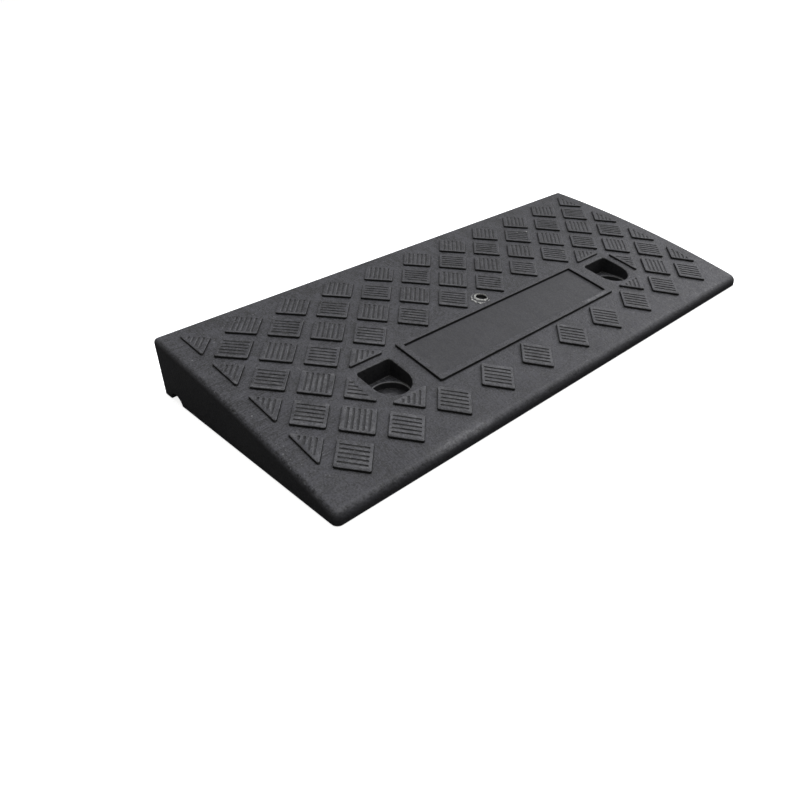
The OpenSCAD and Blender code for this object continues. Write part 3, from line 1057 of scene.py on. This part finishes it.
        # painted highlight: the rounding of the low edge is made paler along its whole length
        rounding = self.times(self.ramp(nz, (0.50, 0.78)), self.ramp(y, (-0.1010, -0.1035)),
                              self.ramp(nz, (0.966, 0.93)))
        rubbed = self.patches(scale=170, detail=4, rough=0.65, span=(0.36, 0.66), to=(0.07, 0.17))
        return self.plus(drag, self.times(rounding, rubbed))

    def rim_streak(self):
        """Pale streak on the rim near the plate's front right corner."""
        return self.times(
            self.band(self.x, centre=0.086, fade=(0.008, 0.020)),
            self.band(self.y, centre=-0.0574, fade=(0.0006, 0.0019)), self.up,
            self.patches(scale=320, detail=3, rough=0.6, span=(0.30, 0.66), to=(0.15, 0.60)))


def steel(name, tint, rough, metal):
    mat = Nodes(name)
    fine = mat.noise(scale=320, detail=5, rough=0.6)
    broad = mat.noise(scale=60, detail=3, rough=0.5)
    tone = mat.plus(mat.times(fine, 0.6), mat.times(broad, 0.4))
    mat.surface(
        Base_Color=mat.mix(mat.ramp(tone, (0.35, 0.65)), tuple(c * 0.55 for c in tint), tint),
        Metallic=metal,
        Roughness=mat.ramp(fine, (0.3, 0.7), (rough - 0.08, rough + 0.12)),
        Normal=mat.bump(mat.noise(scale=2400, detail=2), strength=0.12, dist=0.0001))
    return mat


def rubber():
    mat = Nodes("button_rubber")
    grain = mat.noise(scale=500, detail=4)
    mat.surface(
        Base_Color=mat.mix(grain, (0.008, 0.008, 0.008), (0.018, 0.018, 0.018)),
        Roughness=mat.ramp(grain, (0.3, 0.7), (0.72, 0.85)),
        Normal=mat.bump(mat.noise(scale=1800, detail=3), strength=0.25, dist=0.0001))
    return mat


def torn_plastic():
    """Stress-whitened, torn plastic: paler where the lip stands proud."""
    mat = Nodes("torn_plastic")
    paleness = mat.new("ShaderNodeAttribute", attribute_name="paleness").outputs["Fac"]
    fine = mat.noise(scale=1300, detail=4, rough=0.7, dist=0.6)
    both = mat.plus(fine, mat.noise(scale=520, detail=3, rough=0.6))
    pale = mat.plus(paleness, mat.times(mat.minus(both, 1.0), 1.7))
    mat.surface(
        Base_Color=mat.mix(mat.ramp(pale, (0.25, 1.10)),
                           (0.022, 0.022, 0.025), (0.62, 0.62, 0.60)),
        Roughness=0.62,
        Normal=mat.bump(fine, strength=1.0, dist=0.00012))
    return mat


for mat, obs in (
        (Plastic("ramp_plastic"), [body]),
        (Plastic("plate_plastic", smooth=True), [plate]),
        (steel("washer_steel", tint=(0.055, 0.055, 0.060), rough=0.5, metal=0.45), washers),
        (steel("sleeve_steel", tint=(0.45, 0.46, 0.47), rough=0.35, metal=1.0), sleeves),
        (rubber(), feet),
        (torn_plastic(), [scar])):
    for ob in obs:
        ob.data.materials.clear()
        ob.data.materials.append(mat.material)


# ------------------------------------------------------------------ stage
def light_panel(mat, position):
    """1 on the ground under the ramp, except below the bolt holes."""
    x, y, _ = mat.split(position)
    size_x = mat.size(x)
    main = mat.times(mat.math("LESS_THAN", size_x, 0.2445),
                     mat.within(mat.plus(y, 0.014), 0.0905))
    strip = mat.times(mat.math("LESS_THAN", size_x, 0.205), mat.within(y, 0.1045))
    from_bolt = mat.square_sum(mat.minus(size_x, BORE_X / 1000), mat.minus(y, BORE_Y / 1000))
    return mat.times(mat.math("MAXIMUM", main, strip),
                     mat.math("GREATER_THAN", from_bolt, 0.0085 ** 2))


def floor_material():
    """Pale to the camera, dim to other rays, and clear from below.

    A light panel hidden under the ramp lets a view from below show the ribs."""
    mat = Nodes("floor_pale")
    mat.surface(Base_Color=(0.86, 0.86, 0.865), Roughness=0.9,
                Emission_Color=(1, 1, 1), Emission_Strength=0.8)
    geometry = mat.new("ShaderNodeNewGeometry").outputs
    dim = mat.new("ShaderNodeBsdfDiffuse")
    mat.put(dim, "Color", (0.05, 0.05, 0.05))
    glow = mat.new("ShaderNodeEmission")
    mat.put(glow, "Strength", 2.0)
    clear = mat.new("ShaderNodeBsdfTransparent")
    unseen = mat.mix_shader(light_panel(mat, geometry["Position"]),
                            dim.outputs[0], glow.outputs[0])
    seen = mat.new("ShaderNodeLightPath").outputs["Is Camera Ray"]
    top = mat.mix_shader(seen, unseen, mat.bsdf.outputs[0])
    mat.put(mat.out, 0, mat.mix_shader(geometry["Backfacing"], top, clear.outputs[0]))
    mat.material.cycles.emission_sampling = "NONE"
    return mat.material


def add_floor(half=6.0):
    mesh = bpy.data.meshes.new("floor")
    corners = [(-half, -half, 0), (half, -half, 0), (half, half, 0), (-half, half, 0)]
    mesh.from_pydata(corners, [], [(0, 1, 2, 3)])
    floor = bpy.data.objects.new("floor", mesh)
    bpy.context.scene.collection.objects.link(floor)
    mesh.materials.append(floor_material())


def add_world():
    """White to the camera, a faint warm fill for all other rays."""
    world = bpy.data.worlds.new("studio")
    bpy.context.scene.world = world
    world.use_nodes = True
    nodes, links = world.node_tree.nodes, world.node_tree.links
    nodes.clear()
    out = nodes.new("ShaderNodeOutputWorld")
    pick = nodes.new("ShaderNodeMixShader")
    path = nodes.new("ShaderNodeLightPath")
    links.new(path.outputs["Is Camera Ray"], pick.inputs[0])
    for slot, colour, strength in ((1, (1.0, 1.0, 0.92, 1), 0.28), (2, (1, 1, 1, 1), 1.0)):
        background = nodes.new("ShaderNodeBackground")
        background.inputs["Color"].default_value = colour
        background.inputs["Strength"].default_value = strength
        links.new(background.outputs[0], pick.inputs[slot])
    links.new(pick.outputs[0], out.inputs[0])


def add_area(name, at, target, size, power):
    light = bpy.data.lights.new(name, "AREA")
    light.shape = "RECTANGLE"
    light.size, light.size_y = size
    light.energy = power
    light.color = (0.96, 0.96, 1.0)
    ob = bpy.data.objects.new(name, light)
    bpy.context.scene.collection.objects.link(ob)
    ob.location = at
    ob.rotation_mode = "QUATERNION"
    ob.rotation_quaternion = (Vector(target) - Vector(at)).to_track_quat("-Z", "Y")


def add_camera():
    """Looks down from the front left."""
    at = (-0.43279, -0.37865, 0.29638)
    right = (0.736518, -0.675729, -0.030514)
    down = (-0.382743, -0.379131, -0.842477)
    ahead = (0.557717, 0.632178, -0.537868)
    data = bpy.data.cameras.new("camera")
    data.sensor_width = 36.0
    data.lens = 32.381
    data.clip_start, data.clip_end = 0.01, 50
    camera = bpy.data.objects.new("camera", data)
    bpy.context.scene.collection.objects.link(camera)
    rows = [(right[i], -down[i], -ahead[i], at[i]) for i in range(3)]
    camera.matrix_world = Matrix((*rows, (0, 0, 0, 1)))
    bpy.context.scene.camera = camera


add_floor()
add_world()
add_area("soft_top", at=(1.4, 0.6, 4.6), target=(0, 0, 0), size=(4.2, 4.2), power=196)
add_area("soft_right", at=(6.9, -0.2, 3.4), target=(0.1, 0, 0), size=(4.6, 3.2), power=235)
add_area("soft_back", at=(0.2, 6.8, 4.0), target=(0, 0, 0), size=(4.6, 3.4), power=42)
add_camera()
bpy.context.scene.view_settings.view_transform = "Standard"
